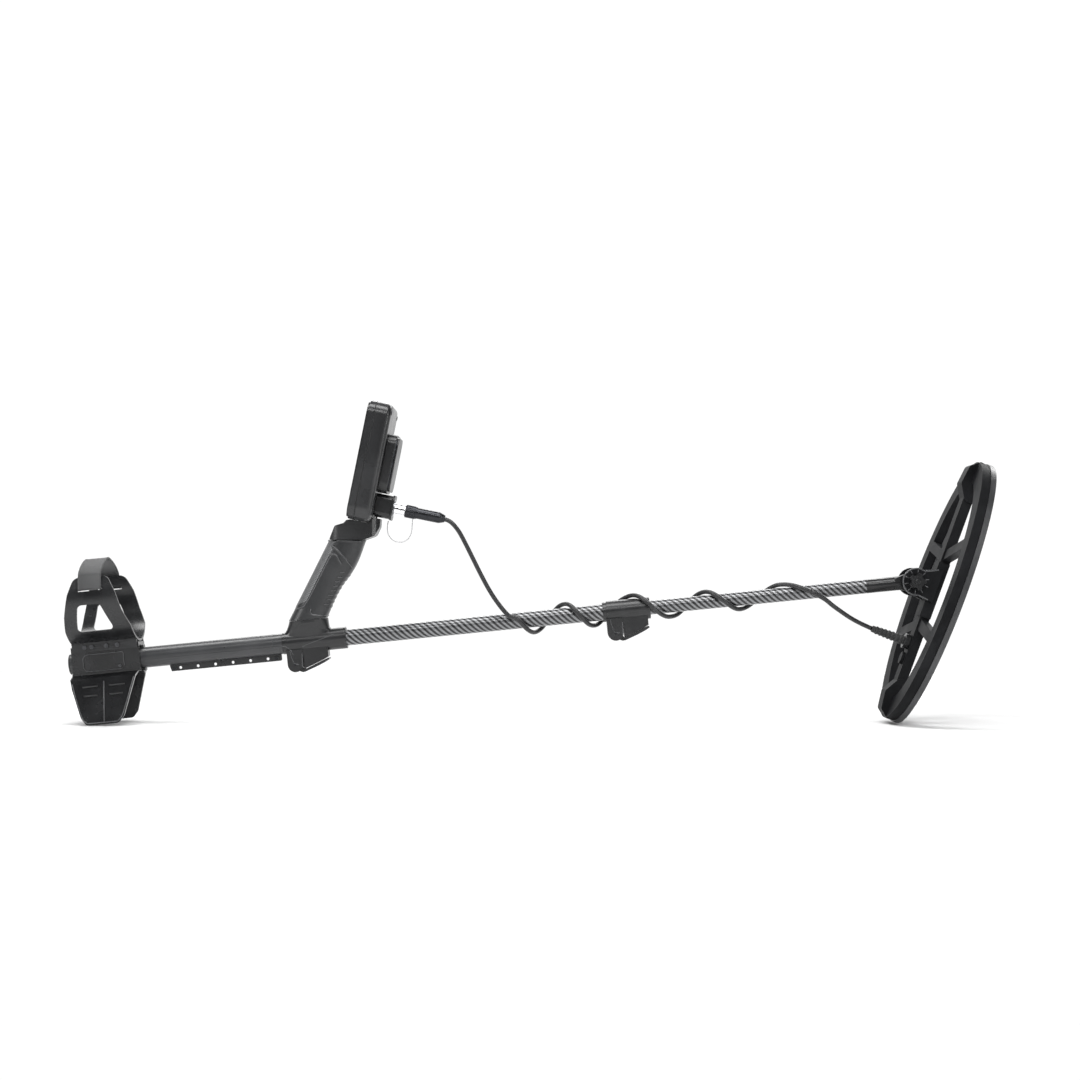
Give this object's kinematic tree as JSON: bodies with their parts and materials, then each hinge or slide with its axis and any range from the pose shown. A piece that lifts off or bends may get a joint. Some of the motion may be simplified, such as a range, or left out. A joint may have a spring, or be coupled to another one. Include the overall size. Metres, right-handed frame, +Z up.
{
  "type": "metal detector",
  "caption": "Hand-held metal detector with a telescoping shaft, pistol grip, control box, armrest cradle and an open oval search coil on a tilting yoke.",
  "frame": {"origin": "centre of the footprint box, on the surface the detector stands on", "axes": "+X forward along the shaft from the armrest to the coil, +Z up, +Y to the left"},
  "size_m": [1.0234, 0.23, 0.3559],
  "materials": {
    "tube_grey": "satin anodised",
    "carbon_tube": "twill under clear coat",
    "moulded_black": "fine moulded grain",
    "armrest_plastic": "fine moulded grain",
    "case_plastic": "satin moulded",
    "grip_rubber": "matt",
    "grip_insert": "hatched",
    "steel": "plated",
    "chrome": "polished",
    "socket_metal": "plated",
    "dark_metal": "black plated",
    "seal_rubber": "matt",
    "display_glass": "clear",
    "display": "glossy",
    "circuit_board": "solder mask",
    "battery": "sleeve",
    "speaker_black": "cone",
    "key_rubber": "satin",
    "tether": "smooth",
    "webbing": "woven",
    "white_plastic": "smooth",
    "coil_plastic": "fine moulded grain",
    "cover_plastic": "satin",
    "copper": "enamelled",
    "cable_jacket": "satin jacket"
  },
  "bodies": {
    "rear": {"rear_tube": "tube_grey", "rear_tube_end_cap": "moulded_black", "accessory_rail": "moulded_black", "rail_screws": "steel", "handle_frame": "moulded_black", "grip_rubber": "grip_rubber", "grip_back_insert": "grip_insert", "neck_collar": "moulded_black", "neck_screws": "steel", "rear_lock_pin": "steel", "rear_lock_pad": "moulded_black", "pod_front_cover": "case_plastic", "pod_back_shell": "case_plastic", "pod_seal": "seal_rubber", "display_window": "display_glass", "lcd_panel": "display", "main_board": "circuit_board", "battery_cell": "battery", "battery_cover": "moulded_black", "speaker": "speaker_black", "keypad_mat": "seal_rubber", "pod_screws": "steel", "socket_housing": "moulded_black", "coil_socket": "socket_metal", "plug_barrel": "chrome", "plug_backshell": "dark_metal", "cap_tether": "tether", "cable_free": "cable_jacket"},
    "armrest": {"armrest_cuff": "armrest_plastic", "armrest_stand": "armrest_plastic", "armrest_screws": "steel", "armrest_clamp_pads": "moulded_black", "arm_strap": "webbing"},
    "rear_lever": {"rear_lock_lever": "case_plastic"},
    "front_lever": {"front_lock_lever": "case_plastic"},
    "middle": {"middle_tube": "carbon_tube", "middle_tube_bush": "white_plastic", "front_lock_body": "moulded_black", "front_lock_pin": "steel", "front_lock_pad": "moulded_black", "cable_wraps": "cable_jacket"},
    "lower": {"lower_tube": "carbon_tube", "lower_tube_bush": "white_plastic", "lower_end_fitting": "moulded_black", "cable_tail": "cable_jacket"},
    "coil": {"coil_shell": "coil_plastic", "coil_windings": "copper", "skid_cover": "cover_plastic", "knuckle_washers": "seal_rubber", "coil_bolt": "moulded_black", "cable_gland": "moulded_black", "strain_relief": "seal_rubber"},
    "hand_nut": {"coil_nut": "moulded_black"},
    "plug_nut": {"plug_coupling_nut": "dark_metal"},
    "key_power": {"key_power": "key_rubber"},
    "key_menu": {"key_menu": "key_rubber"},
    "key_minus": {"key_minus": "key_rubber"},
    "key_plus": {"key_plus": "key_rubber"},
    "key_pinpoint": {"key_pinpoint": "key_rubber"}
  },
  "joints": [
    {"name": "armrest_slide", "type": "slide", "parent": "rear", "child": "armrest", "axis": [0.9952, 0, 0.0979], "range_m": [0, 0.024]},
    {"name": "middle_slide", "type": "slide", "parent": "rear", "child": "middle", "axis": [0.9952, 0, 0.0979], "range_m": [-0.17, 0.03], "deforming": ["cable_free"]},
    {"name": "lower_slide", "type": "slide", "parent": "middle", "child": "lower", "axis": [0.9952, 0, 0.0979], "range_m": [-0.2, 0.03], "deforming": ["cable_wraps"]},
    {"name": "coil_tilt", "type": "hinge", "parent": "lower", "child": "coil", "pos_m": [0.42598, 0, 0.15705], "axis": [0, 1, 0], "range_deg": [-105, 28], "deforming": ["cable_tail"]},
    {"name": "coil_nut_turn", "type": "hinge", "parent": "coil", "child": "hand_nut", "pos_m": [0.42598, -0.02, 0.15705], "axis": [0, 1, 0], "continuous": true},
    {"name": "rear_lock_lever", "type": "hinge", "parent": "rear", "child": "rear_lever", "pos_m": [-0.25984, 0, 0.06545], "axis": [0, 1, 0], "range_deg": [0, 80]},
    {"name": "front_lock_lever", "type": "hinge", "parent": "middle", "child": "front_lever", "pos_m": [0.09445, 0, 0.10031], "axis": [0, 1, 0], "range_deg": [0, 80]},
    {"name": "plug_nut_turn", "type": "hinge", "parent": "rear", "child": "plug_nut", "pos_m": [-0.12754, 0, 0.23342], "axis": [0.9803, 0, -0.1977], "continuous": true},
    {"name": "key_power_press", "type": "slide", "parent": "rear", "child": "key_power", "axis": [0.9803, 0, -0.1977], "range_m": [0, 0.0008], "stiffness_N_per_m": 1500},
    {"name": "key_menu_press", "type": "slide", "parent": "rear", "child": "key_menu", "axis": [0.9803, 0, -0.1977], "range_m": [0, 0.0008], "stiffness_N_per_m": 1500},
    {"name": "key_minus_press", "type": "slide", "parent": "rear", "child": "key_minus", "axis": [0.9803, 0, -0.1977], "range_m": [0, 0.0008], "stiffness_N_per_m": 1500},
    {"name": "key_plus_press", "type": "slide", "parent": "rear", "child": "key_plus", "axis": [0.9803, 0, -0.1977], "range_m": [0, 0.0008], "stiffness_N_per_m": 1500},
    {"name": "key_pinpoint_press", "type": "slide", "parent": "rear", "child": "key_pinpoint", "axis": [0.9803, 0, -0.1977], "range_m": [0, 0.0008], "stiffness_N_per_m": 1500}
  ]
}
